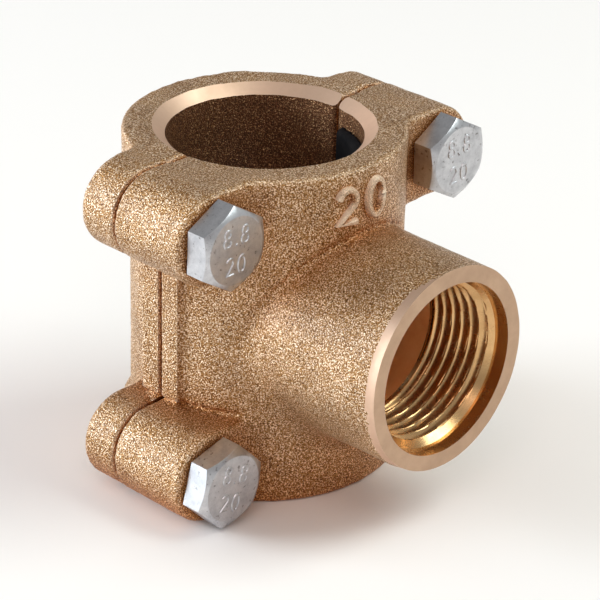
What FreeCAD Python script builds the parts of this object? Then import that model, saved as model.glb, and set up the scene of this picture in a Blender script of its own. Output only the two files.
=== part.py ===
import FreeCAD, Part
import os
import Sketcher

# Repair clamp tee for a 26.9 mm pipe with a G 3/4 branch.
# The pipe axis is Z and the origin lies on it, halfway between the two end faces.
# The branch points to -Y, the halves part across Y and the bolts run along Y.

os.makedirs("parts", exist_ok=True)
doc = FreeCAD.newDocument("repair_clamp_tee")

# Driving dimensions in millimetres and degrees, and the few that follow from them by a rule
sheet = doc.addObject("Spreadsheet::Sheet", "dimensions")
sizes = [
    ("pipe_radius", 13.45),
    ("pipe_fit", 0.1),
    ("gasket_wall", 1.65),
    ("gasket_margin", 3.9),
    ("gasket_side", 2.0),
    ("gasket_bevel", 1.0),
    ("gasket_window", 7.0),
    ("body_height", 53.9),
    ("casting_wall", 6.6),
    ("barrel_radius", "=pipe_radius + pipe_fit + gasket_wall + casting_wall"),
    ("waist_depth", 1.3),
    ("strap_waist", "=barrel_radius - waist_depth"),
    ("strap_band", 7.0),
    ("band_slope", 1.5),
    ("parting_offset", 0.5),
    ("parting_gap", 0.4),
    ("edge_relief", 0.5),
    ("end_chamfer_width", 2.0),
    ("end_chamfer_depth", 1.5),
    ("flange_lip", 0.6),
    ("flange_half_width", "=barrel_radius + flange_lip"),
    ("saddle_flange", 4.4),
    ("strap_flange", 3.7),
    ("bolt_clearance", 2.3),
    ("ear_offset", "=barrel_radius + bolt_clearance"),
    ("ear_radius", 7.25),
    ("ear_setback", 7.8),
    ("saddle_ear", "=barrel_radius - ear_setback"),
    ("strap_ear", 7.3),
    ("ear_overlap", 12.1),
    ("ear_root", "=ear_offset - ear_overlap"),
    ("cast_round", 0.9),
    ("foot_round", 0.5),
    ("branch_height", 26.5),
    ("branch_reach", 38.8),
    ("branch_radius", 16.1),
    ("branch_draft", 0.43),
    ("turned_band", 1.6),
    ("turned_step", 0.15),
    ("branch_root_round", 2.2),
    ("mouth_radius", 13.65),
    ("mouth_depth", 2.3),
    ("thread_radius", 13.22),
    ("thread_length", 11.5),
    ("passage_radius", 12.06),
    ("bolt_radius", 4.0),
    ("bolt_fit", 0.08),
    ("bolt_bite", 6.0),
    ("bolt_length", "=saddle_ear + bolt_bite"),
    ("bolt_tip", 0.8),
    ("head_width", 11.75),
    ("head_height", 4.5),
    ("crown_radius", 5.3),
    ("head_crown", 0.8),
    ("turn_top_left", -1.6),
    ("turn_top_right", 0.9),
    ("turn_bottom_left", -15.0),
    ("turn_bottom_right", 22.0),
]
for row, (alias, value) in enumerate(sizes, start=1):
    sheet.set("A%d" % row, alias)
    sheet.set("B%d" % row, str(value))
    sheet.setAlias("B%d" % row, alias)
doc.recompute()


def size(alias):
    return float(sheet.get(alias))


# The cast bore holds the gasket wall around the pipe
bore = "(dimensions.pipe_radius + dimensions.pipe_fit + dimensions.gasket_wall)"


def new_body(label):
    # Cast and moulded pieces are drawn from their lower end, half a height below the origin
    body = doc.addObject("PartDesign::Body", label)
    body.Label = label
    body.setExpression("Placement.Base.z", "-dimensions.body_height / 2")
    return body


def new_sketch(body, name, role):
    sketch = body.newObject("Sketcher::SketchObject", name)
    for plane in body.Origin.OriginFeatures:
        if plane.Role == role:
            sketch.AttachmentSupport = [(plane, "")]
    sketch.MapMode = "FlatFace"
    return sketch


def bind_point(sketch, index, end, across, along):
    for kind, rule in (("DistanceX", across), ("DistanceY", along)):
        number = sketch.addConstraint(Sketcher.Constraint(kind, -1, 1, index, end, 1.0))
        sketch.setExpression("Constraints[%d]" % number, rule)


def draw_outline(sketch, corners):
    # A closed outline whose corners are given as rules in the driving dimensions
    first = sketch.GeometryCount
    count = len(corners)
    for step in range(count):
        start = FreeCAD.Vector(step, step * step, 0)
        finish = FreeCAD.Vector((step + 1) % count, ((step + 1) % count) ** 2, 0)
        sketch.addGeometry(Part.LineSegment(start, finish), False)
    for step in range(count):
        follower = first + (step + 1) % count
        sketch.addConstraint(Sketcher.Constraint("Coincident", first + step, 2, follower, 1))
    for step, (across, along) in enumerate(corners):
        bind_point(sketch, first + step, 1, across, along)


def draw_circle(sketch, across, along, radius):
    circle = Part.Circle(FreeCAD.Vector(0, 0, 0), FreeCAD.Vector(0, 0, 1), 1.0)
    index = sketch.addGeometry(circle, False)
    bind_point(sketch, index, 3, across, along)
    number = sketch.addConstraint(Sketcher.Constraint("Radius", index, 1.0))
    sketch.setExpression("Constraints[%d]" % number, radius)


def add_pad(body, sketch, length, both_ways=False):
    pad = body.newObject("PartDesign::Pad", sketch.Name + "_pad")
    pad.Profile = sketch
    pad.setExpression("Length", length)
    pad.Midplane = both_ways
    doc.recompute()
    return pad


def add_pocket(body, sketch, length, both_ways=True):
    pocket = body.newObject("PartDesign::Pocket", sketch.Name + "_pocket")
    pocket.Profile = sketch
    pocket.setExpression("Length", length)
    pocket.Midplane = both_ways
    doc.recompute()
    return pocket


def add_turned(body, sketch, axis, kind):
    turned = body.newObject("PartDesign::" + kind, sketch.Name + "_turned")
    turned.Profile = sketch
    turned.ReferenceAxis = (sketch, [axis])
    turned.Angle = 360
    doc.recompute()
    return turned


def dress_edges(body, name, kind, width, test):
    base = body.Tip
    names = ["Edge%d" % (i + 1) for i, edge in enumerate(base.Shape.Edges) if test(edge)]
    if not names:
        raise RuntimeError("no edge found for " + name)
    dressing = body.newObject("PartDesign::" + kind, name)
    dressing.Base = (base, names)
    dressing.setExpression("Radius" if kind == "Fillet" else "Size", width)
    doc.recompute()
    if dressing.Shape.isNull() or not dressing.Shape.isValid():
        raise RuntimeError("failed feature " + name)


def parting_face(side):
    # The parting face of the saddle (side -1) or of the strap (side +1), a little off the pipe axis
    return "-dimensions.parting_offset + %d * dimensions.parting_gap / 2" % side


def cast_half(label, barrel_corners, flange, ear, side):
    # Half of the cast sleeve with its flanges and four ears, cut off at its parting face
    body = new_body(label)
    barrel = new_sketch(body, label + "_barrel", "XZ_Plane")
    draw_outline(barrel, barrel_corners)
    add_turned(body, barrel, "V_Axis", "Revolution")
    plate = new_sketch(body, label + "_flange", "XY_Plane")
    reach = "dimensions." + flange
    draw_outline(plate, [
        ("-dimensions.flange_half_width", "-" + reach),
        ("dimensions.flange_half_width", "-" + reach),
        ("dimensions.flange_half_width", reach),
        ("-dimensions.flange_half_width", reach),
    ])
    add_pad(body, plate, "dimensions.body_height")
    levels = (
        ("0", "2 * dimensions.ear_radius", "dimensions.ear_radius"),
        ("dimensions.body_height - 2 * dimensions.ear_radius", "dimensions.body_height",
         "dimensions.body_height - dimensions.ear_radius"),
    )
    webs = new_sketch(body, label + "_ear_web", "XZ_Plane")
    bosses = new_sketch(body, label + "_ear_boss", "XZ_Plane")
    for sign in ("-", ""):
        for low, high, middle in levels:
            draw_outline(webs, [
                (sign + "dimensions.ear_root", low),
                (sign + "dimensions.ear_offset", low),
                (sign + "dimensions.ear_offset", high),
                (sign + "dimensions.ear_root", high),
            ])
            draw_circle(bosses, sign + "dimensions.ear_offset", middle, "dimensions.ear_radius")
    for sketch in (webs, bosses):
        add_pad(body, sketch, "2 * dimensions." + ear, both_ways=True)
    away = new_sketch(body, label + "_parting", "XY_Plane")
    near = parting_face(side)
    far = "%d * 2 * dimensions.branch_reach" % -side
    width = "2 * dimensions.ear_offset"
    draw_outline(away, [("-" + width, near), (width, near), (width, far), ("-" + width, far)])
    add_pocket(body, away, "4 * dimensions.body_height")
    return body


def bore_through(body):
    # Round bore with a turned chamfer at both end faces
    rim = bore + " + 2 * dimensions.end_chamfer_width"
    deep = "dimensions.end_chamfer_depth"
    top = "dimensions.body_height"
    profile = new_sketch(body, body.Label + "_bore", "XZ_Plane")
    draw_outline(profile, [
        ("0", "-" + deep),
        (rim, "-" + deep),
        (bore, deep),
        (bore, top + " - " + deep),
        (rim, top + " + " + deep),
        ("0", top + " + " + deep),
    ])
    add_turned(body, profile, "V_Axis", "Groove")


def relieve_parting_edges(body, side):
    # Blunted edges where the bore and its chamfers meet the parting face
    face = -size("parting_offset") + side * size("parting_gap") / 2
    inner = size("pipe_radius") + size("pipe_fit") + size("gasket_wall") - 0.2
    outer = inner + size("end_chamfer_width") + 0.3

    def bore_edge(edge):
        box = edge.BoundBox
        flat = box.YLength < 0.01 and abs(box.YMin - face) < 0.01
        across = min(abs(box.XMin), abs(box.XMax)) > inner and max(abs(box.XMin), abs(box.XMax)) < outer
        return flat and across and box.ZLength > 0.5 * size("end_chamfer_depth")

    dress_edges(body, body.Label + "_relief", "Chamfer", "dimensions.edge_relief", bore_edge)


def bolt_holes(body, radius):
    holes = new_sketch(body, body.Label + "_bolt_holes", "XZ_Plane")
    for sign in ("-", ""):
        for middle in ("dimensions.ear_radius", "dimensions.body_height - dimensions.ear_radius"):
            draw_circle(holes, sign + "dimensions.ear_offset", middle, radius)
    add_pocket(body, holes, "4 * dimensions.saddle_ear")


def round_cast_edges(body, ear, side):
    # Rounds on the head and foot ends together with the ear faces
    top = size("body_height")
    ear_height = 2 * size("ear_radius")
    slack = 0.2

    def end_edge(edge, low, high):
        box = edge.BoundBox
        within = box.ZMin > low - 0.01 and box.ZMax < high + 0.01
        beyond = side * box.YMin > ear - slack and side * box.YMax > ear - slack
        level = box.ZLength < 0.01 and (abs(box.ZMin) < 0.01 or abs(box.ZMax - top) < 0.01)
        front = box.YLength < 0.01 and box.XLength > 0.1
        return within and beyond and (level or front)

    dress_edges(body, body.Label + "_head", "Fillet", "dimensions.cast_round",
                lambda edge: end_edge(edge, top - ear_height, top))
    dress_edges(body, body.Label + "_foot", "Fillet", "dimensions.foot_round",
                lambda edge: end_edge(edge, 0, ear_height))


# Saddle half with the threaded branch
saddle = cast_half("saddle_body", [
    ("0", "0"),
    ("dimensions.barrel_radius", "0"),
    ("dimensions.barrel_radius", "dimensions.body_height"),
    ("0", "dimensions.body_height"),
], "saddle_flange", "saddle_ear", -1)
round_cast_edges(saddle, size("saddle_ear"), -1)
spigot = new_sketch(saddle, "branch_outside", "YZ_Plane")
spigot.setExpression("AttachmentOffset.Base.y", "dimensions.branch_height")
shoulder = "-(dimensions.branch_reach - dimensions.turned_band)"
root = "-(dimensions.parting_offset + dimensions.parting_gap)"
draw_outline(spigot, [
    (root, "0"),
    (root, "dimensions.branch_radius + dimensions.turned_step + dimensions.branch_draft"),
    (shoulder, "dimensions.branch_radius + dimensions.turned_step"),
    (shoulder, "dimensions.branch_radius"),
    ("-dimensions.branch_reach", "dimensions.branch_radius"),
    ("-dimensions.branch_reach", "0"),
])
add_turned(saddle, spigot, "H_Axis", "Revolution")


def branch_root(edge):
    box = edge.BoundBox
    across = 1.9 * size("branch_radius")
    return box.XLength > across and box.ZLength > across and box.YMin > -size("barrel_radius") - 1


dress_edges(saddle, "branch_root", "Fillet", "dimensions.branch_root_round", branch_root)
bore_through(saddle)
relieve_parting_edges(saddle, -1)
inside = new_sketch(saddle, "branch_inside", "YZ_Plane")
inside.setExpression("AttachmentOffset.Base.y", "dimensions.branch_height")
floor = "-(dimensions.branch_reach - dimensions.mouth_depth - dimensions.thread_length)"
draw_outline(inside, [
    ("0", "0"),
    ("0", "dimensions.passage_radius"),
    (floor, "dimensions.passage_radius"),
    (floor, "dimensions.thread_radius"),
    ("-(dimensions.branch_reach - dimensions.mouth_depth)", "dimensions.thread_radius"),
    ("-(dimensions.branch_reach - dimensions.mouth_depth)", "dimensions.mouth_radius"),
    ("-(dimensions.branch_reach + 1)", "dimensions.mouth_radius"),
    ("-(dimensions.branch_reach + 1)", "0"),
])
add_turned(saddle, inside, "H_Axis", "Groove")
bolt_holes(saddle, "dimensions.bolt_radius + dimensions.bolt_fit")

# Strap half with the tapped ears
slope_end = "(dimensions.strap_band + dimensions.band_slope)"
strap = cast_half("strap_body", [
    ("0", "0"),
    ("dimensions.barrel_radius", "0"),
    ("dimensions.barrel_radius", "dimensions.strap_band"),
    ("dimensions.strap_waist", slope_end),
    ("dimensions.strap_waist", "dimensions.body_height - " + slope_end),
    ("dimensions.barrel_radius", "dimensions.body_height - dimensions.strap_band"),
    ("dimensions.barrel_radius", "dimensions.body_height"),
    ("0", "dimensions.body_height"),
], "strap_flange", "strap_ear", 1)
round_cast_edges(strap, size("strap_ear"), 1)
bore_through(strap)
relieve_parting_edges(strap, 1)
bolt_holes(strap, "dimensions.bolt_radius + dimensions.bolt_fit")

# Rubber gasket lining the saddle, with a window for the branch
gasket = new_body("saddle_gasket")
liner = new_sketch(gasket, "liner", "XZ_Plane")
face = "(dimensions.pipe_radius + dimensions.pipe_fit)"
low = "dimensions.gasket_margin"
high = "dimensions.body_height - dimensions.gasket_margin"
draw_outline(liner, [
    (face, low + " + dimensions.gasket_bevel"),
    (bore, low),
    (bore, high),
    (face, high + " - dimensions.gasket_bevel"),
])
add_turned(gasket, liner, "V_Axis", "Revolution")
sides = new_sketch(gasket, "gasket_sides", "XY_Plane")
wide = "2 * dimensions.barrel_radius"
draw_outline(sides, [
    ("-" + wide, "-dimensions.gasket_side"),
    (wide, "-dimensions.gasket_side"),
    (wide, wide),
    ("-" + wide, wide),
])
add_pocket(gasket, sides, "4 * dimensions.body_height")
window = new_sketch(gasket, "gasket_window", "XZ_Plane")
draw_circle(window, "0", "dimensions.branch_height", "dimensions.gasket_window")
add_pocket(gasket, window, "4 * dimensions.barrel_radius")


def hexagon_bolt(label, across, level, turn):
    # Bolt along Y drawn from the seat of its head, set into its ear turned to where tightening left it
    body = doc.addObject("PartDesign::Body", label)
    body.Label = label
    head = new_sketch(body, label + "_head", "XZ_Plane")
    half = "dimensions.head_width / 2"
    corner = "dimensions.head_width / sqrt(3)"
    draw_outline(head, [
        ("0", corner),
        ("-" + half, corner + " / 2"),
        ("-" + half, "-" + corner + " / 2"),
        ("0", "-" + corner),
        (half, "-" + corner + " / 2"),
        (half, corner + " / 2"),
    ])
    add_pad(body, head, "dimensions.head_height")
    crown = new_sketch(body, label + "_crown", "YZ_Plane")
    flat = "dimensions.crown_radius"
    outside = "2 * %s - %s" % (corner, flat)
    draw_outline(crown, [
        ("-dimensions.head_height", flat),
        ("-dimensions.head_height", outside),
        ("-dimensions.head_height + 2 * dimensions.head_crown", outside),
    ])
    add_turned(body, crown, "H_Axis", "Groove")
    shank = new_sketch(body, label + "_shank", "YZ_Plane")
    draw_outline(shank, [
        ("-dimensions.head_height / 2", "0"),
        ("-dimensions.head_height / 2", "dimensions.bolt_radius"),
        ("dimensions.bolt_length - dimensions.bolt_tip", "dimensions.bolt_radius"),
        ("dimensions.bolt_length", "dimensions.bolt_radius - dimensions.bolt_tip"),
        ("dimensions.bolt_length", "0"),
    ])
    add_turned(body, shank, "H_Axis", "Revolution")
    seat = FreeCAD.Vector(across, -size("saddle_ear"), level)
    body.Placement = FreeCAD.Placement(seat, FreeCAD.Rotation(FreeCAD.Vector(0, -1, 0), turn))
    return body


parts = [saddle, strap, gasket]
bolt_level = size("body_height") / 2 - size("ear_radius")
for level_name, level in (("bottom", -bolt_level), ("top", bolt_level)):
    for side_name, across in (("left", -size("ear_offset")), ("right", size("ear_offset"))):
        place = "%s_%s" % (level_name, side_name)
        parts.append(hexagon_bolt("bolt_" + place, across, level, size("turn_" + place)))
doc.recompute()

# Each sub-part is checked and written to its own file
for item in doc.Objects:
    if "Invalid" in item.State or "Error" in item.State:
        raise RuntimeError("failed feature " + item.Name)
for part in parts:
    if part.Shape.isNull() or not part.Shape.isValid() or len(part.Shape.Solids) != 1:
        raise RuntimeError("bad shape " + part.Label)
    part.Shape.exportStep("parts/%s.step" % part.Label)
    print(part.Label, round(part.Shape.Volume, 1))
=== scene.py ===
import bmesh
import bpy
import math
import numpy as np
from mathutils import Matrix, Vector


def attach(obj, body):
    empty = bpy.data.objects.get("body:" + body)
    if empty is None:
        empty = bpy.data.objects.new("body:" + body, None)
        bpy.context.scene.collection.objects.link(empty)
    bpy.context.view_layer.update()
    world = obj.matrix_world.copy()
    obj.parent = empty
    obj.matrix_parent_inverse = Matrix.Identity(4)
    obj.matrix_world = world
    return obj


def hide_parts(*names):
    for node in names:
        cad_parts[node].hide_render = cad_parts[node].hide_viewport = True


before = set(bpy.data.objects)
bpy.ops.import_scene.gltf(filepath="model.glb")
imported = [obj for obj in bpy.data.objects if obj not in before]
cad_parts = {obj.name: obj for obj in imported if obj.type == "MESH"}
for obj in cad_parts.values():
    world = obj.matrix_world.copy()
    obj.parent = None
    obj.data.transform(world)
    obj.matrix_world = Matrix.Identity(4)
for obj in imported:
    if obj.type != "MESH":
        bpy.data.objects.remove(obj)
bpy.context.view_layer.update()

# Saddle casting, outside
# The front half of the clamp, sand cast in bronze and shot blasted to a coarse sparkle. Its walls run
# into each other in fillets, its edges are worn round, and a raised size number stands on its barrel.

# All sizes are in millimetres until solid() stores them in metres. CELL is the spacing of the lattice
# on which the castings' surfaces are worked out.
MM = 0.001
CELL = 0.45


def put(tree, kind, **values):
    """New node of a kind, with its settings and inputs set by name and its links made from sockets."""
    item = tree.nodes.new(kind)
    for key, value in values.items():
        socket = key.replace("_", " ")
        if socket not in item.inputs:
            setattr(item, key, value)
        elif isinstance(value, bpy.types.NodeSocket):
            tree.links.new(value, item.inputs[socket])
        else:
            item.inputs[socket].default_value = value
    return item


def feed(tree, pairs):
    """Links or sets each input from the socket or the value beside it."""
    for socket, value in pairs:
        if isinstance(value, bpy.types.NodeSocket):
            tree.links.new(value, socket)
        else:
            socket.default_value = value


def math_node(tree, operation, a, b):
    """Result of one arithmetic step between two sockets or numbers."""
    item = tree.nodes.new("ShaderNodeMath")
    item.operation = operation
    feed(tree, zip(item.inputs, (a, b)))
    return item.outputs[0]


def grey(value):
    """The grey colour of a value."""
    return value, value, value


def ramp(tree, value, stops):
    """Colours along a value, from a list of (place, colour)."""
    item = tree.nodes.new("ShaderNodeValToRGB")
    tree.links.new(value, item.inputs[0])
    while len(item.color_ramp.elements) < len(stops):
        item.color_ramp.elements.new(0.5)
    for element, (place, colour) in zip(item.color_ramp.elements, stops):
        element.position = place
        element.color = (*colour, 1.0)
    return item.outputs[0]


def blend_colour(tree, share, a, b, how="MIX"):
    """Mix of two colours by a share."""
    item = tree.nodes.new("ShaderNodeMix")
    item.data_type = "RGBA"
    item.blend_type = how
    feed(tree, zip((item.inputs[0], item.inputs[6], item.inputs[7]), (share, a, b)))
    return item.outputs[2]


def group(name, inputs, outputs):
    """Node group whose named inputs and outputs are numbers, with its nodes for both."""
    tree = bpy.data.node_groups.new(name, "ShaderNodeTree")
    for key in inputs:
        tree.interface.new_socket(name=key, in_out="INPUT", socket_type="NodeSocketFloat")
    for key in outputs:
        tree.interface.new_socket(name=key, in_out="OUTPUT", socket_type="NodeSocketFloat")
    return tree, tree.nodes.new("NodeGroupInput"), tree.nodes.new("NodeGroupOutput")


def blasted_grain():
    """Shot-blasted surface. Speck is the noise of dents and sparkling lips a quarter of a millimetre
    across, Height adds the round dents to it, Cloud is a faint coarse noise, and Inside is 1 where a
    point is nearer to the pipe's axis than Bore."""
    tree, enter, leave = group("blasted_grain", ["Scale", "Bore"], ["Speck", "Height", "Cloud", "Inside"])
    place = tree.nodes.new("ShaderNodeTexCoord").outputs["Object"]
    fine = put(tree, "ShaderNodeTexNoise", Vector=place, Detail=2.0, Roughness=0.55,
               Scale=enter.outputs["Scale"])
    dent_scale = math_node(tree, "MULTIPLY", enter.outputs["Scale"], 0.8)
    dent = put(tree, "ShaderNodeTexVoronoi", Vector=place, Scale=dent_scale)
    cloud = put(tree, "ShaderNodeTexNoise", Vector=place, Scale=180.0, Detail=3.0, Roughness=0.6)
    dents = math_node(tree, "MULTIPLY", dent.outputs["Distance"], 0.6)
    height = math_node(tree, "ADD", fine.outputs[0], dents)
    flat = put(tree, "ShaderNodeVectorMath", operation="MULTIPLY")
    feed(tree, zip(flat.inputs, (place, (1.0, 1.0, 0.0))))
    span = put(tree, "ShaderNodeVectorMath", operation="LENGTH")
    tree.links.new(flat.outputs[0], span.inputs[0])
    inside = math_node(tree, "LESS_THAN", span.outputs["Value"], enter.outputs["Bore"])
    feed(tree, zip(leave.inputs, (fine.outputs[0], height, cloud.outputs[0], inside)))
    return tree


def lathe_marks():
    """Turned surface. Stain is a cloudy noise a few millimetres across, and Fine the faint grain that
    the cutter leaves."""
    tree, enter, leave = group("lathe_marks", ["Stain Scale", "Fine Scale"], ["Stain", "Fine"])
    place = tree.nodes.new("ShaderNodeTexCoord").outputs["Object"]
    stain = put(tree, "ShaderNodeTexNoise", Vector=place, Detail=4.0, Roughness=0.65,
                Scale=enter.outputs["Stain Scale"])
    fine = put(tree, "ShaderNodeTexNoise", Vector=place, Detail=1.0, Scale=enter.outputs["Fine Scale"])
    feed(tree, zip(leave.inputs, (stain.outputs[0], fine.outputs[0])))
    return tree


def material(name):
    """New material, with its node tree and its Principled shader."""
    item = bpy.data.materials.new(name)
    item.use_nodes = True
    return item, item.node_tree, item.node_tree.nodes["Principled BSDF"]


grain = blasted_grain()
marks = lathe_marks()


def cast_bronze(name, dark, middle, light, skin_colour):
    """Bronze as blasted, from the colours of its dents, its body and its sparkles, and of the dull
    skin in its bore. Sheltered corners get a painted warm shade from ambient occlusion, and edges
    where the surface bends get a painted highlight in the sparkle colour that also stands for wear."""
    item, tree, shader = material(name)
    look = put(tree, "ShaderNodeGroup", node_tree=grain, Scale=4500.0, Bore=0.0157)
    body = ramp(tree, look.outputs["Speck"], [(0.37, dark), (0.455, middle), (0.525, middle), (0.61, light)])
    tone = ramp(tree, look.outputs["Cloud"], [(0.3, (0.86, 0.84, 0.82)), (0.7, (1.1, 1.1, 1.1))])
    body = blend_colour(tree, 1.0, body, tone, "MULTIPLY")
    # Painted shade: ambient occlusion darkens and warms the colour in sheltered corners and creases, where
    # shade falls.
    open_air = put(tree, "ShaderNodeAmbientOcclusion", samples=6, Distance=0.013).outputs["AO"]
    painted_crevice_shade = ramp(tree, open_air, [(0.32, (0.90, 0.56, 0.26)), (0.92, grey(1.0))])
    body = blend_colour(tree, 1.0, body, painted_crevice_shade, "MULTIPLY")
    # Painted highlight: where the surface bends over a convex edge the colour turns to the light sparkle
    # colour, a glint on rounded edges that also stands for wear.
    bend = put(tree, "ShaderNodeAttribute", attribute_name="bend").outputs["Fac"]
    edge_highlight_and_wear = ramp(tree, bend, [(0.53, grey(0.0)), (0.59, grey(0.8))])
    body = blend_colour(tree, edge_highlight_and_wear, body, (*light, 1.0))
    dull = tuple(0.7 * v for v in skin_colour)
    scuffed = tuple(1.8 * v for v in skin_colour)
    inner = ramp(tree, look.outputs["Speck"], [(0.42, dull), (0.58, scuffed), (0.68, (0.90, 0.56, 0.28))])
    tree.links.new(blend_colour(tree, look.outputs["Inside"], body, inner), shader.inputs["Base Color"])
    shader.inputs["Metallic"].default_value = 0.8
    shader.inputs["Coat Weight"].default_value = 0.25
    shader.inputs["Coat Roughness"].default_value = 0.38
    rough = ramp(tree, look.outputs["Speck"], [(0.35, grey(0.60)), (0.68, grey(0.36))])
    tree.links.new(rough, shader.inputs["Roughness"])
    bump = put(tree, "ShaderNodeBump", Strength=1.0, Distance=0.00017, Height=look.outputs["Height"])
    tree.links.new(bump.outputs[0], shader.inputs["Normal"])
    return item


def turned_bronze(name, colour, shade, dull, smooth):
    """Bright bronze from the lathe, from the colours of its clean and stained parts and the
    roughness of its stained and clean parts."""
    item, tree, shader = material(name)
    look = put(tree, "ShaderNodeGroup", node_tree=marks, Stain_Scale=220.0, Fine_Scale=3000.0)
    tint = ramp(tree, look.outputs["Stain"], [(0.3, shade), (0.65, colour)])
    tree.links.new(tint, shader.inputs["Base Color"])
    shader.inputs["Metallic"].default_value = 1.0
    rough = ramp(tree, look.outputs["Stain"], [(0.3, grey(dull)), (0.7, grey(smooth))])
    tree.links.new(rough, shader.inputs["Roughness"])
    bump = put(tree, "ShaderNodeBump", Strength=0.12, Distance=0.00005, Height=look.outputs["Fine"])
    tree.links.new(bump.outputs[0], shader.inputs["Normal"])
    return item


bronze = cast_bronze(
    "bronze_cast",
    dark=(0.13, 0.046, 0.010),
    middle=(0.425, 0.216, 0.064),
    light=(0.97, 0.775, 0.59),
    skin_colour=(0.170, 0.071, 0.030),
)
bright = turned_bronze("bronze_turned", (0.72, 0.45, 0.215), (0.60, 0.355, 0.155), 0.32, 0.20)
faced = turned_bronze("bronze_faced", (0.60, 0.41, 0.28), (0.53, 0.36, 0.245), 0.58, 0.46)
# Painted glow: the drilled passage is brighter orange than bare bronze, standing in for light bounced about
# inside it.
drilled_painted_glow = turned_bronze("bronze_drilled_painted_glow", (1.0, 0.64, 0.30), (0.95, 0.56, 0.24), 0.95, 0.85)
bevelled = turned_bronze("bronze_bevelled", (0.79, 0.55, 0.40), (0.71, 0.49, 0.35), 0.55, 0.46)
FINISHES = (bronze, bright, faced, drilled_painted_glow, bevelled)
CAST, TURNED, FACED, DRILLED, BEVELLED = range(len(FINISHES))

HALF_HEIGHT = 26.95
BARREL_RADIUS = 21.8
BORE_RADIUS = 15.2
FLANGE_HALF_WIDTH = 22.4
EAR_OFFSET = 24.1
EAR_RADIUS = 7.25
EAR_LEVEL = HALF_HEIGHT - EAR_RADIUS
EAR_ROOT = 12.0


def lattice(low, high):
    """Three axes of a cubic lattice, shaped to combine into a whole block of points."""
    spans = [np.arange(a, b + CELL, CELL) for a, b in zip(low, high)]
    return spans[0][:, None, None], spans[1][None, :, None], spans[2][None, None, :]


def join(a, b, radius):
    """Union of two distance fields with a fillet: the smaller of both, less the squared overlap of
    the fillet zone over four radii."""
    overlap = np.maximum(radius - np.abs(a - b), 0.0)
    return np.minimum(a, b) - overlap * overlap / (4.0 * radius)


def meet(a, b, radius):
    """Intersection of two distance fields with a rounded edge: the larger of both, plus the squared
    overlap of the rounded zone over four radii."""
    overlap = np.maximum(radius - np.abs(a - b), 0.0)
    return np.maximum(a, b) + overlap * overlap / (4.0 * radius)


def rebate(body, near, width, depth):
    """Sinks a body's surface by a depth wherever another form is nearer than a width, so that the
    body ends in a crisp edge beside that form."""
    return np.maximum(body, np.minimum(width - near, body + depth))


def waves(shape, spacing, height, seed):
    """Smooth random waves: random values on a coarse lattice, carried to the fine one by cosine
    weights along each axis in turn."""
    rng = np.random.default_rng(seed)
    block = rng.uniform(-height, height, [int(n * CELL / spacing) + 3 for n in shape])
    for axis, count in enumerate(shape):
        place = np.arange(count) * CELL / spacing
        start = place.astype(int)
        share = 0.5 - 0.5 * np.cos(math.pi * (place - start))
        weight = np.zeros((count, block.shape[axis]))
        weight[np.arange(count), start] = 1.0 - share
        weight[np.arange(count), start + 1] = share
        block = np.moveaxis(np.tensordot(weight, block, (1, axis)), 0, axis)
    return block


def skin(field, axes, ease=0.45):
    """Surface where a distance field is zero: one vertex in each cell that the surface crosses, at
    the mean of the crossings on the cell's edges, and one quad around each crossed lattice edge.
    Each vertex then moves towards the mean of its neighbours by the share called ease."""
    inside = field < 0.0
    cells = tuple(n - 1 for n in field.shape)
    corner = {
        (i, j, k): (slice(i, i + cells[0]), slice(j, j + cells[1]), slice(k, k + cells[2]))
        for i in (0, 1) for j in (0, 1) for k in (0, 1)
    }
    filled = sum(inside[c].astype(np.int8) for c in corner.values())
    crossed = (filled > 0) & (filled < 8)
    number = np.full(cells, -1, dtype=np.int64)
    number[crossed] = np.arange(crossed.sum())
    where = np.argwhere(crossed)
    total = np.zeros((len(where), 3))
    hits = np.zeros(len(where))
    for first, c in corner.items():
        for axis in range(3):
            if first[axis] == 1:
                continue
            second = tuple(v + (1 if a == axis else 0) for a, v in enumerate(first))
            f0 = field[c][crossed]
            f1 = field[corner[second]][crossed]
            cuts = (f0 < 0.0) != (f1 < 0.0)
            share = np.where(cuts, f0 / np.where(cuts, f0 - f1, 1.0), 0.0)
            point = np.array(first, dtype=float)[None, :] + share[:, None] * np.eye(3)[axis][None, :]
            total += np.where(cuts[:, None], point, 0.0)
            hits += cuts
    points = (where + total / hits[:, None]) * CELL + np.array([a.ravel()[0] for a in axes])
    quads = []
    for axis in range(3):
        u, v = (axis + 1) % 3, (axis + 2) % 3
        lower = [slice(1, n - 1) for n in field.shape]
        lower[axis] = slice(0, field.shape[axis] - 1)
        upper = list(lower)
        upper[axis] = slice(1, field.shape[axis])
        a, b = inside[tuple(lower)], inside[tuple(upper)]
        for change, flip in ((a & ~b, False), (~a & b, True)):
            spot = np.argwhere(change)
            spot[:, u] += 1
            spot[:, v] += 1
            ring = []
            for du, dv in ((1, 1), (0, 1), (0, 0), (1, 0)):
                cell = spot.copy()
                cell[:, u] -= du
                cell[:, v] -= dv
                ring.append(number[cell[:, 0], cell[:, 1], cell[:, 2]])
            quads.append(np.stack(ring[::-1] if flip else ring, axis=1))
    quads = np.concatenate(quads)
    count = len(points)
    start, end = quads.ravel(), np.roll(quads, -1, axis=1).ravel()
    share = np.bincount(start, minlength=count) + np.bincount(end, minlength=count)
    near = [np.bincount(start, points[end, a], count) + np.bincount(end, points[start, a], count)
            for a in range(3)]
    return points + ease * (np.stack(near, axis=1) / share[:, None] - points), quads


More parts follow.
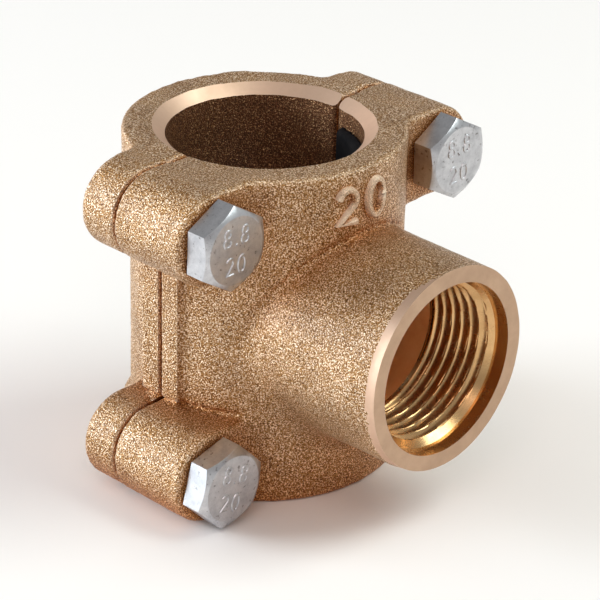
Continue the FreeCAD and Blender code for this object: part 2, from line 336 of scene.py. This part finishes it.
def solid(name, points, faces, finishes, wear=0):
    """Object from points in millimetres and faces given as equal rows of point numbers, with its
    materials and the number of the one that its faces wear, or a number for each face."""
    mesh = bpy.data.meshes.new(name)
    faces = np.asarray(faces, dtype=np.int32)
    mesh.vertices.add(len(points))
    mesh.vertices.foreach_set("co", (np.asarray(points) * MM).astype(np.float32).ravel())
    mesh.loops.add(faces.size)
    mesh.loops.foreach_set("vertex_index", faces.ravel())
    mesh.polygons.add(len(faces))
    mesh.polygons.foreach_set("loop_start", np.arange(len(faces), dtype=np.int32) * faces.shape[1])
    mesh.polygons.foreach_set("use_smooth", np.ones(len(faces), dtype=bool))
    mesh.update(calc_edges=True)
    for finish in finishes:
        mesh.materials.append(finish)
    mesh.polygons.foreach_set("material_index", np.zeros(len(faces), dtype=np.int32) + wear)
    item = bpy.data.objects.new(name, mesh)
    bpy.context.scene.collection.objects.link(item)
    return item


def half_walls(axes, side, ear_reach, ear_radius, flange_reach, barrel, fillet):
    """Distance field of one cast half without its holes: the barrel's cylinder joined to the flange
    plate, cut back a little beside the ears, joined to the ears by fillets and met by the two end
    planes. An ear is a bar whose end is round, and square on the side of the near end plane."""
    x, y, z = axes
    plate = meet(np.abs(x) - FLANGE_HALF_WIDTH, side * y - flange_reach, 0.4) + 0.0 * z
    body = join(np.hypot(x, y) - barrel, plate, 0.5)
    outward = np.abs(x) - EAR_OFFSET
    drop = np.abs(z) - EAR_LEVEL
    boss = np.hypot(np.maximum(outward, 0.0), drop) - ear_radius
    boss = np.where((outward < 0.0) & (drop > 0.0), outward - ear_radius, boss)
    boss = np.maximum(boss, EAR_ROOT - np.abs(x))
    ear = meet(boss + 0.0 * y, side * y - ear_reach, 1.0)
    fade = np.clip((np.abs(x) - 16.0) / 3.0, 0.0, 1.0) * np.clip(-drop / 2.0, 0.0, 1.0)
    body = rebate(body, boss, 1.0, 0.9 * fade)
    body = join(body, ear, fillet)
    return meet(body, np.abs(z) - HALF_HEIGHT, 0.5)


def half_holes(axes, body, side, parting, drill, seed):
    """Takes the bore, the bolt holes and all beyond the parting face out of a casting's field, after
    adding the shallow waves that the sand mould leaves. The parting face stands back at the ears,
    further at the foot than at the top."""
    x, y, z = axes
    body = body + waves(body.shape, 5.0, 0.07, seed) + waves(body.shape, 1.5, 0.05, seed + 1)
    body = np.maximum(body, BORE_RADIUS - np.hypot(x, y) + waves(body.shape, 1.7, 0.07, seed + 2))
    hole = np.hypot(np.abs(x) - EAR_OFFSET, np.abs(z) - EAR_LEVEL)
    body = np.maximum(body, drill - hole)
    back = np.where(z < 0.0, 0.9, 0.5)
    step = back * np.clip(np.abs(x) - 20.0, 0.0, 1.0) * np.clip(np.abs(z) - 12.0, 0.0, 1.0)
    return meet(body, side * (parting + step - y), 0.25)


BRANCH_LEVEL = -0.45
BRANCH_REACH = 38.8
BRANCH_RADIUS = 16.3
BRANCH_TAPER = 0.012
CAST_REACH = 39.6
SKIM_END = -37.2


def skimmed(across, along, above):
    """Distance outside the cone that the facing tool leaves round the branch's rim. It runs a little
    off the casting's own centre, so it cleans up one side only."""
    return np.hypot(across - 0.28, above - 0.10) - 16.28 - 0.10 * (along + BRANCH_REACH)


def raised_stroke(path):
    """Closed rib on the barrel along a path of (arc length, level): a rounded profile carried along
    the path, its ring of eight points at each step set out sideways and outwards, with flat ends."""
    path = np.array(path)
    ahead = np.gradient(path, axis=0)
    ahead /= np.linalg.norm(ahead, axis=1)[:, None]
    spread = np.array([-0.62, -0.46, -0.28, 0.28, 0.46, 0.62, 0.5, -0.5])
    height = np.array([-0.4, 0.62, 0.8, 0.8, 0.62, -0.4, -0.6, -0.6])
    turn = (path[:, :1] - ahead[:, 1:] * spread) / BARREL_RADIUS
    level = path[:, 1:] + ahead[:, :1] * spread
    reach = BARREL_RADIUS + height + 0.0 * turn
    points = np.stack([reach * np.sin(turn), -reach * np.cos(turn), level], axis=2).reshape(-1, 3)
    row, col = np.meshgrid(np.arange(len(path) - 1), np.arange(8), indexing="ij")
    a, b = (row * 8 + col).ravel(), (row * 8 + (col + 1) % 8).ravel()
    last = len(points) - 8
    caps = [[0, 1, 2, 3], [0, 3, 4, 5], [0, 5, 6, 7], [last + 3, last + 2, last + 1, last],
            [last + 5, last + 4, last + 3, last], [last + 7, last + 6, last + 5, last]]
    return points, np.concatenate([np.stack([b, a, a + 8, b + 8], axis=1), np.array(caps)])


def arc(u, v, wide, high, start, end):
    """Points along an ellipse's arc about (u, v), every twenty degrees or finer."""
    count = int(abs(end - start) / 20) + 1
    turns = np.radians(np.linspace(start, end, count + 1))
    return [(u + wide * math.cos(t), v + high * math.sin(t)) for t in turns]


axes = lattice((-32.6, -40.2, -27.9), (32.6, 0.3, 27.9))
x, y, z = axes
body = half_walls(axes, side=-1, ear_reach=14.0, ear_radius=EAR_RADIUS, flange_reach=4.4,
                  barrel=BARREL_RADIUS, fillet=1.5)

# The branch is cast a little longer than it is machined. Its corner with the barrel is crisp above,
# where the barrel is cut back beside it, and a wide fillet below.
above = z - BRANCH_LEVEL
branch = np.hypot(x, above) - BRANCH_RADIUS - BRANCH_TAPER * (y + BRANCH_REACH)
branch = np.maximum(branch, np.maximum(-CAST_REACH - y, y + 2.0))
body = rebate(body, branch, 0.8, 0.35 * np.clip((above - 2.0) / 6.0, 0.0, 1.0))
body = join(body, branch, 2.4 - 2.15 * np.clip((above + 4.0) / 8.0, -1.0, 1.0) + 0.0 * body)
body = half_holes(axes, body, side=-1, parting=-0.72, drill=4.3, seed=11)
body = np.maximum(body, np.where(y < SKIM_END, skimmed(x, y, above), -9.0))
points, faces = skin(body, axes)

# The faces that lie on the skimmed cone are bare, and the rest and the raised number are as cast.
across, along, level = points[faces].mean(axis=1).T
clean = (np.abs(skimmed(across, along, level - BRANCH_LEVEL)) < 0.05) & (along < SKIM_END)
wear = np.where(clean, BEVELLED, CAST)
two = arc(-4.3, 22.6, 1.5, 1.6, 170, -40) + [(-5.9, 18.9), (-2.6, 18.9)]
nought = arc(1.3, 21.7, 1.6, 2.85, 0, 360)
for path in (two, nought):
    more, strip = raised_stroke(path)
    faces = np.concatenate([faces, strip + len(points)])
    points = np.concatenate([points, more])
    wear = np.concatenate([wear, np.full(len(strip), CAST)])
saddle = solid("saddle_casting", points, faces, FINISHES, wear)

# Machined faces of the saddle
# The bore's mouth is chamfered on a lathe at both ends. The branch is faced, skimmed round its rim,
# counterbored and cut with a pipe thread of 1.814 mm pitch, and the cutters leave bright bronze. The
# drilled passage behind the thread is painted a brighter orange, a painted glow of light bounced inside it.

PIPE_PITCH = 1.814
THREAD_CREST = 12.06
THREAD_HEIGHT = 1.16
THREAD_END = 14.3
PASSAGE_END = 27.0
COUNTERBORE_RADIUS = 13.65
COUNTERBORE_DEPTH = 2.3


def all_round(count):
    """Equal angles for one full turn."""
    return np.linspace(0.0, math.tau, count, endpoint=False)


def tube(rows, ends):
    """Points and triangles of a closed tube: rows of equal rings of points, joined in order, with a
    fan to one more point at each end."""
    count, around = rows.shape[:2]
    row, col = np.meshgrid(np.arange(count - 1), np.arange(around), indexing="ij")
    a = (row * around + col).ravel()
    b = (row * around + (col + 1) % around).ravel()
    c, d = a + around, b + around
    first, last = count * around, count * around + 1
    ring = np.arange(around)
    after = (ring + 1) % around
    end = (count - 1) * around
    return np.concatenate([rows.reshape(-1, 3), ends]), np.concatenate([
        np.stack([a, b, d], axis=1),
        np.stack([a, d, c], axis=1),
        np.stack([after, ring, np.full(around, first)], axis=1),
        np.stack([end + ring, end + after, np.full(around, last)], axis=1),
    ])


def turned(name, profile, axis="Z", level=0.0, wear=BEVELLED):
    """Solid of revolution from a profile of (distance along the axis, radius) whose ends lie on the
    axis, which is the pipe's, or points along the branch at a level."""
    along, radius = np.array(profile, dtype=float).T
    angle = all_round(300)
    u = radius[:, None] * np.cos(angle)
    v = radius[:, None] * np.sin(angle) + level
    w = along[:, None] + 0.0 * angle
    rows = np.stack([u, v, w] if axis == "Z" else [u, -w, v], axis=2)
    return solid(name, *tube(rows[1:-1], rows[[0, -1], 0]), FINISHES, wear)


def mend(mesh, near):
    """Merges points nearer to each other than a distance in metres, and sets crisp edges between two
    materials and wherever the surface turns by more than 38 degrees. Stores how far the surface
    bends at each point: the angle between its normal and the mean direction of its edges, as a
    share of half a turn, averaged with its neighbours."""
    clean = bmesh.new()
    clean.from_mesh(mesh)
    bmesh.ops.remove_doubles(clean, verts=clean.verts, dist=near)
    bmesh.ops.dissolve_degenerate(clean, edges=clean.edges, dist=0.00001)
    for edge in clean.edges:
        finishes = {face.material_index for face in edge.link_faces}
        edge.smooth = len(finishes) == 1 and edge.calc_face_angle(0.0) < math.radians(38)
    clean.to_mesh(mesh)
    clean.free()
    count = len(mesh.vertices)
    spots, normals = np.zeros(3 * count, dtype=np.float32), np.zeros(3 * count, dtype=np.float32)
    ends = np.zeros(2 * len(mesh.edges), dtype=np.int32)
    mesh.vertices.foreach_get("co", spots)
    mesh.vertex_normals.foreach_get("vector", normals)
    mesh.edges.foreach_get("vertices", ends)
    a, b = ends.reshape(-1, 2).T
    way = spots.reshape(-1, 3)[b] - spots.reshape(-1, 3)[a]
    way /= np.linalg.norm(way, axis=1)[:, None]
    share = np.bincount(a, minlength=count) + np.bincount(b, minlength=count)
    lean = [np.bincount(a, way[:, k], count) - np.bincount(b, way[:, k], count) for k in range(3)]
    lean = (np.stack(lean, axis=1) * normals.reshape(-1, 3)).sum(axis=1) / share
    bend = np.arccos(np.clip(lean, -1.0, 1.0)) / math.pi
    bend = (bend + np.bincount(a, bend[b], count) + np.bincount(b, bend[a], count)) / (share + 1)
    store = mesh.attributes.get("bend") or mesh.attributes.new("bend", "FLOAT", "POINT")
    store.data.foreach_set("value", bend.astype(np.float32))


def cut(item, tools):
    """Takes each tool's solid out of an object, lays the tool's own material on the cut faces, and
    removes the tools. The mesh is mended before and after."""
    mend(item.data, 0.00011)
    for tool in tools:
        change = item.modifiers.new(tool.name, "BOOLEAN")
        change.operation = "DIFFERENCE"
        change.object = tool
        change.solver = "MANIFOLD"
    bpy.context.view_layer.update()
    shown = bpy.data.meshes.new_from_object(item.evaluated_get(bpy.context.evaluated_depsgraph_get()))
    item.modifiers.clear()
    item.data = shown
    mend(shown, 0.00003)
    for tool in tools:
        bpy.data.objects.remove(tool)


def end_cones():
    """Two cones that chamfer the mouth of the bore at both ends, each with a blunt point inside it."""
    top = HALF_HEIGHT
    profile = [(top - 6.0, 0.0), (top - 6.0, 10.0), (top - 1.65, 15.0), (top + 1.5, 19.2), (top + 1.5, 0.0)]
    cones = [turned("cone_top", profile), turned("cone_foot", [(-w, r) for w, r in profile])]
    cones[1].data.flip_normals()
    return cones


def thread_bore():
    """The tool that cuts the branch from 2 mm before its mouth inwards. Its radius over depth and
    angle is the larger of the lead-in cone and a rounded triangle that climbs one pitch a turn and
    runs out before the thread's end. The counterbore and the passage behind are plain."""
    thread = np.arange(COUNTERBORE_DEPTH + 0.001, THREAD_END, 0.115)
    depth = np.concatenate([[-2.0, 0.0, COUNTERBORE_DEPTH], thread, [THREAD_END + 0.1, PASSAGE_END]])
    d, t = np.meshgrid(depth, all_round(210), indexing="ij")
    phase = (d / PIPE_PITCH + t / math.tau) % 1.0
    tooth = np.clip(1.25 * np.abs(2.0 * phase - 1.0) - 0.12, 0.0, 1.0)
    tooth = tooth * tooth * (3.0 - 2.0 * tooth) * 0.35 + tooth * 0.65
    runout = np.clip((14.2 - d) / 1.6, 0.0, 1.0)
    lead_in = 13.35 - (d - COUNTERBORE_DEPTH) * 0.82
    radius = np.maximum(THREAD_CREST + THREAD_HEIGHT * tooth * runout, lead_in)
    radius[:3] = COUNTERBORE_RADIUS
    radius[-2:] = THREAD_CREST
    rows = np.stack([radius * np.cos(t), d - BRANCH_REACH, radius * np.sin(t) + BRANCH_LEVEL], axis=2)
    ends = [(0.0, depth[0] - BRANCH_REACH, BRANCH_LEVEL), (0.0, depth[-1] - BRANCH_REACH, BRANCH_LEVEL)]
    points, faces = tube(rows, ends)
    deep = points[faces][:, :, 1].min(axis=1) > THREAD_END - BRANCH_REACH
    tool = solid("thread_tool", points, faces, FINISHES, np.where(deep, DRILLED, TURNED))
    tool.data.flip_normals()
    return tool


near, far, wide = BRANCH_REACH, BRANCH_REACH + 3.0, 22.0
face = [(near, 0.0), (near, wide), (far, wide), (far, 0.0)]
face_tool = turned("face_tool", face, axis="Y", level=BRANCH_LEVEL, wear=FACED)
cut(saddle, end_cones() + [face_tool, thread_bore()])
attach(saddle, "saddle")
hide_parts("saddle_body")

# Strap casting
# The rear half, cast and blasted like the saddle. Its barrel is waisted between two end bands, and
# its short ears are tapped for the bolts.

BAND_HEIGHT = 8.5
WAIST_DEPTH = 1.3

# The barrel's radius over the height: the bands' own, eased over 1.5 mm to the waist's.
axes = lattice((-32.6, -1.2, -27.9), (32.6, 23.0, 27.9))
slope = np.clip((np.abs(axes[2]) - (HALF_HEIGHT - BAND_HEIGHT)) / 1.5, 0.0, 1.0)
waisted = BARREL_RADIUS - WAIST_DEPTH * (1.0 - slope * slope * (3.0 - 2.0 * slope))
body = half_walls(axes, side=1, ear_reach=7.3, ear_radius=EAR_RADIUS - 0.15, flange_reach=3.7,
                  barrel=waisted, fillet=1.0)
body = half_holes(axes, body, side=1, parting=-0.28, drill=3.2, seed=31)
strap = solid("strap_casting", *skin(body, axes), FINISHES)

# Each bolt's place across and along the pipe, and the angle in degrees that tightening left it at.
# SEAT is where the heads rest on the saddle's ears.
BOLT_PLACES = {
    "bolt_top_left": (-EAR_OFFSET, EAR_LEVEL, -1.6),
    "bolt_top_right": (EAR_OFFSET, EAR_LEVEL, 0.9),
    "bolt_bottom_left": (-EAR_OFFSET, -EAR_LEVEL, -15.0),
    "bolt_bottom_right": (EAR_OFFSET, -EAR_LEVEL, 22.0),
}
SEAT = -14.0
BOLT_PITCH = 1.25
BOLT_THREAD_HEIGHT = 0.62
TAP_RADIUS = 4.06
SINK_RADIUS = 4.35


def bolt_thread(depth, angle):
    """Share of a right-hand thread's full height below its crests: a clipped triangle wave that
    climbs one pitch a turn."""
    phase = (depth / BOLT_PITCH - angle / math.tau) % 1.0
    return np.clip(1.3 * np.abs(2.0 * phase - 1.0) - 0.15, 0.0, 1.0)


def tapped_hole(name, across, level, turn):
    """The tap's own form: the bolt's thread on the same helix, a little wider all round, and a
    countersink at 45 degrees that opens to the ear's end face."""
    depth = np.arange(-23.5, -12.9, BOLT_PITCH / 8.0)
    d, t = np.meshgrid(depth, all_round(40), indexing="ij")
    sink = np.minimum(SEAT - d - 2.8, SINK_RADIUS)
    radius = np.maximum(TAP_RADIUS - BOLT_THREAD_HEIGHT * bolt_thread(d, t), sink)
    spin = t + math.radians(turn)
    rows = np.stack([radius * np.cos(spin) + across, SEAT - d, radius * np.sin(spin) + level], axis=2)
    ends = [(across, SEAT - depth[0], level), (across, SEAT - depth[-1], level)]
    return solid(name, *tube(rows, ends), FINISHES, TURNED)


cut(strap, end_cones() + [tapped_hole(name + "_tap", *place) for name, place in BOLT_PLACES.items()])
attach(strap, "strap")
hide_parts("strap_body")

# Gasket
# A moulded black rubber liner that lies in the saddle's bore, with a hole for the branch and a raised
# sealing bead round it. Nothing holds it but the pipe.

rubber, tree, shader = material("rubber")
place = tree.nodes.new("ShaderNodeTexCoord").outputs["Object"]
dust = put(tree, "ShaderNodeTexNoise", Vector=place, Scale=500.0, Detail=4.0, Roughness=0.7)
black = ramp(tree, dust.outputs[0], [(0.35, (0.004, 0.004, 0.005)), (0.75, (0.014, 0.012, 0.012))])
tree.links.new(black, shader.inputs["Base Color"])
shader.inputs["Roughness"].default_value = 0.85
shader.inputs["Specular IOR Level"].default_value = 0.12
bump = put(tree, "ShaderNodeBump", Strength=0.25, Distance=0.0001, Height=dust.outputs[0])
tree.links.new(bump.outputs[0], shader.inputs["Normal"])

GASKET_OUTSIDE = 15.13
GASKET_INSIDE = 13.58
GASKET_HALF_HEIGHT = 23.05
GASKET_EDGE = -2.0
WINDOW_RADIUS = 7.0
BEAD_RADIUS = 8.6

# The liner's distance field: the ring between two radii, joined to the bead's ring round the window,
# thinned towards both ends, and met by the end planes, the edge plane and the window's hole.
axes = lattice((-15.9, -16.0, -23.9), (15.9, -1.2, 23.9))
x, y, z = axes
rim = np.hypot(x, y)
wall = meet(rim - GASKET_OUTSIDE, GASKET_INSIDE - rim, 0.2) + 0.0 * z
hole = np.hypot(x, z - BRANCH_LEVEL)
bead = np.hypot(hole - BEAD_RADIUS, (rim - 13.6) * 1.6) - 0.75
wall = join(wall, bead, 0.4)
wall = meet(wall, np.abs(z) - GASKET_HALF_HEIGHT + 0.45 * np.maximum(15.1 - rim, 0.0), 0.4)
wall = meet(wall, y - GASKET_EDGE + 0.0 * rim, 0.4)
wall = meet(wall, WINDOW_RADIUS - hole + 0.0 * y, 0.4)
gasket = solid("gasket_liner", *skin(wall, axes), (rubber,))
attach(gasket, "saddle")
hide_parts("saddle_gasket")

# Bolts
# Four M8 hexagon screws, cold headed and zinc plated. The crown of each head is turned to a cone and
# carries raised plain numbers, and the shank is threaded up to the head.

zinc, tree, shader = material("zinc")
place = tree.nodes.new("ShaderNodeTexCoord").outputs["Object"]
cloud = put(tree, "ShaderNodeTexNoise", Vector=place, Scale=420.0, Detail=5.0, Roughness=0.7)
spots = put(tree, "ShaderNodeTexNoise", Vector=place, Scale=1500.0, Detail=2.0, Roughness=0.6)
plate = ramp(tree, cloud.outputs[0], [(0.34, (0.46, 0.46, 0.48)), (0.66, (0.66, 0.66, 0.68))])
pits = ramp(tree, spots.outputs[0], [(0.26, (0.40, 0.38, 0.37)), (0.37, grey(1.0))])
tree.links.new(blend_colour(tree, 1.0, plate, pits, "MULTIPLY"), shader.inputs["Base Color"])
shader.inputs["Metallic"].default_value = 1.0
rough = ramp(tree, cloud.outputs[0], [(0.3, grey(0.42)), (0.7, grey(0.29))])
tree.links.new(rough, shader.inputs["Roughness"])
bump = put(tree, "ShaderNodeBump", Strength=0.2, Distance=0.00006, Height=spots.outputs[0])
tree.links.new(bump.outputs[0], shader.inputs["Normal"])

HEAD_HALF_FLATS = 5.875
HEAD_HEIGHT = 4.5
CROWN_RADIUS = 5.3
CROWN_SLOPE = 0.539
SHANK_RADIUS = 3.98
SHANK_LENGTH = 20.0


def figure(path, width, height):
    """Raised stroke on the crown: an arched ridge swept along a path of (u, v), closed by a point at
    each of its ends."""
    path = np.array(path)
    ahead = np.gradient(path, axis=0)
    ahead /= np.linalg.norm(ahead, axis=1)[:, None]
    side = np.stack([-ahead[:, 1], ahead[:, 0]], axis=1)
    spread = np.array([-1.0, -0.6, 0.0, 0.6, 1.0, 0.6, -0.6]) * width
    lift = np.array([-0.3, 0.8, 1.0, 0.8, -0.3, -0.3, -0.3]) * height
    flat = path[:, None, :] + side[:, None, :] * spread[None, :, None]
    rows = np.concatenate([flat, np.broadcast_to(lift[None, :, None], flat.shape[:2] + (1,))], axis=2)
    return tube(rows, [(*path[0], 0.0), (*path[-1], 0.0)])


def bolt_shape():
    """The head, the shank and the raised figures of a bolt about its own axis: u and v across it,
    and the third value outwards from the seat of the head. The head's radius is the hexagon's over
    the angle, from a washer face up to the cone of its crown, and the shank's is the thread's."""
    t = all_round(96)
    flat = HEAD_HALF_FLATS / np.cos((t + math.pi / 6.0) % (math.pi / 3.0) - math.pi / 6.0)
    crown = HEAD_HEIGHT - CROWN_SLOPE * (flat - CROWN_RADIUS)
    profile = [(0.0, 3.9), (0.0, 5.35), (0.3, 5.4), (0.34, flat - 0.1), (0.44, flat), (crown - 0.02, flat),
               (crown + 0.02, flat - 0.04), (4.44, 5.42), (HEAD_HEIGHT, CROWN_RADIUS), (HEAD_HEIGHT, 4.0)]
    head = np.stack([np.stack([r * np.cos(t), r * np.sin(t), h + 0.0 * t], axis=1) for h, r in profile])
    shapes = [tube(head, [(0.0, 0.0, 0.0), (0.0, 0.0, HEAD_HEIGHT)])]
    depth = np.concatenate([np.arange(-SHANK_LENGTH, -0.1, 0.125), [0.1]])
    d, t = np.meshgrid(depth, all_round(48), indexing="ij")
    point = 3.3 + (d + SHANK_LENGTH) * 0.9
    radius = np.minimum(SHANK_RADIUS - BOLT_THREAD_HEIGHT * bolt_thread(d, t), point)
    shank = np.stack([radius * np.cos(t), radius * np.sin(t), d], axis=2)
    shapes.append(tube(shank, [(0.0, 0.0, depth[0]), (0.0, 0.0, depth[-1])]))
    eight = [arc(0.0, 0.75, 0.58, 0.6, 0, 360), arc(0.0, -0.6, 0.7, 0.72, 0, 360)]
    nought = [arc(0.0, 0.0, 0.7, 1.3, 0, 360)]
    two = [arc(0.0, 0.6, 0.68, 0.7, 160, -40) + [(-0.65, -1.3), (0.7, -1.3)]]
    dot = [[(-0.12, -1.25), (0.12, -1.25)]]
    upper = [(-1.75, 2.2, eight), (0.0, 2.2, dot), (1.75, 2.2, eight)]
    lower = [(-1.2, -2.3, two), (1.2, -2.3, nought)]
    for u, v, paths in upper + lower:
        for path in paths:
            points, faces = figure([(a + u, b + v) for a, b in path], width=0.26, height=0.16)
            points[:, 2] += HEAD_HEIGHT
            shapes.append((points, faces))
    start = np.cumsum([0] + [len(points) for points, faces in shapes[:-1]])
    return (np.concatenate([points for points, faces in shapes]),
            np.concatenate([faces + first for (points, faces), first in zip(shapes, start)]))


points, faces = bolt_shape()
for name, (across, level, turn) in BOLT_PLACES.items():
    c, s = math.cos(math.radians(turn)), math.sin(math.radians(turn))
    u = c * points[:, 0] - s * points[:, 1] + across
    v = s * points[:, 0] + c * points[:, 1] + level
    bolt = solid(name + "_screw", np.stack([u, SEAT - points[:, 2], v], axis=1), faces, (zinc,))
    bolt.data.set_sharp_from_angle(angle=math.radians(26))
    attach(bolt, name)
    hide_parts(name)

# Floor
# A wide sheet of white board under the part, matt, a hair below the part's foot. It isn't part of
# the object.

sheet, tree, shader = material("floor")
shader.inputs["Base Color"].default_value = (1.0, 0.955, 0.92, 1.0)
shader.inputs["Roughness"].default_value = 0.9
shader.inputs["Specular IOR Level"].default_value = 0.1
FLOOR_REACH = 6000.0
FLOOR_LEVEL = -26.97
corners = [(a * FLOOR_REACH, b * FLOOR_REACH, FLOOR_LEVEL) for a, b in ((-1, -1), (1, -1), (1, 1), (-1, 1))]
floor = solid("floor", corners, [(0, 1, 2, 3)], (sheet,))

# Camera
# A long lens on the front left and above, where the photograph was taken from. Its angles, lens and
# place were solved from points on the bore, the end faces, the branch and the bolts.

CAMERA_DISTANCE = 0.460785
CAMERA_ACROSS = 0.006503
CAMERA_UP = 0.021474
azimuth, elevation, roll = (math.radians(v) for v in (-46.257, 26.286, 1.394))
flat = math.cos(elevation)
back = Vector((math.sin(azimuth) * flat, -math.cos(azimuth) * flat, math.sin(elevation)))
right = Vector((math.cos(azimuth), math.sin(azimuth), 0.0))
up = back.cross(right)
across = right * math.cos(roll) + up * math.sin(roll)
upright = up * math.cos(roll) - right * math.sin(roll)
foot = Vector((0.0, 0.0, -HALF_HEIGHT * MM))
spot = back * CAMERA_DISTANCE + across * CAMERA_ACROSS + upright * CAMERA_UP + foot
lens = bpy.data.cameras.new("camera")
lens.lens = 172.573
lens.sensor_width = 36.0
lens.clip_start = 0.01
camera = bpy.data.objects.new("camera", lens)
camera.matrix_world = Matrix.Translation(spot) @ Matrix((across, upright, back)).transposed().to_4x4()
bpy.context.scene.collection.objects.link(camera)
bpy.context.scene.camera = camera
bpy.context.scene.view_settings.view_transform = "Standard"

# Light
# Four soft boxes aimed at the part, the strongest behind it on the left, in a plain studio whose
# walls are brighter near the floor than above.


def lamp(name, place, power, colour):
    """Soft box half a metre square at a place, aimed at the part's middle."""
    light = bpy.data.lights.new(name, "AREA")
    light.shape = "RECTANGLE"
    light.size = 0.5
    light.size_y = 0.5
    light.energy = power
    light.color = colour
    item = bpy.data.objects.new(name, light)
    item.location = place
    item.rotation_euler = (-Vector(place)).to_track_quat("-Z", "Y").to_euler()
    bpy.context.scene.collection.objects.link(item)


lamp("key", (-0.601, 0.628, 0.233), 7.6, (0.88, 1.0, 1.10))
lamp("right", (0.400, -0.418, 0.689), 4.4, (0.90, 1.0, 0.98))
lamp("front", (-0.418, -0.400, 0.689), 1.5, (1.0, 0.83, 0.80))
lamp("rear", (0.019, 0.869, 0.233), 0.8, (1.0, 0.9, 0.85))
world = bpy.data.worlds.new("studio")
bpy.context.scene.world = world
world.use_nodes = True
tree = world.node_tree
sky = tree.nodes.new("ShaderNodeTexCoord").outputs["Generated"]
height = put(tree, "ShaderNodeSeparateXYZ", Vector=sky).outputs["Z"]
walls = ramp(tree, height, [(0.0, grey(0.64)), (0.12, grey(0.62)), (0.30, grey(0.33)), (1.0, grey(0.31))])
tree.links.new(walls, tree.nodes["Background"].inputs["Color"])
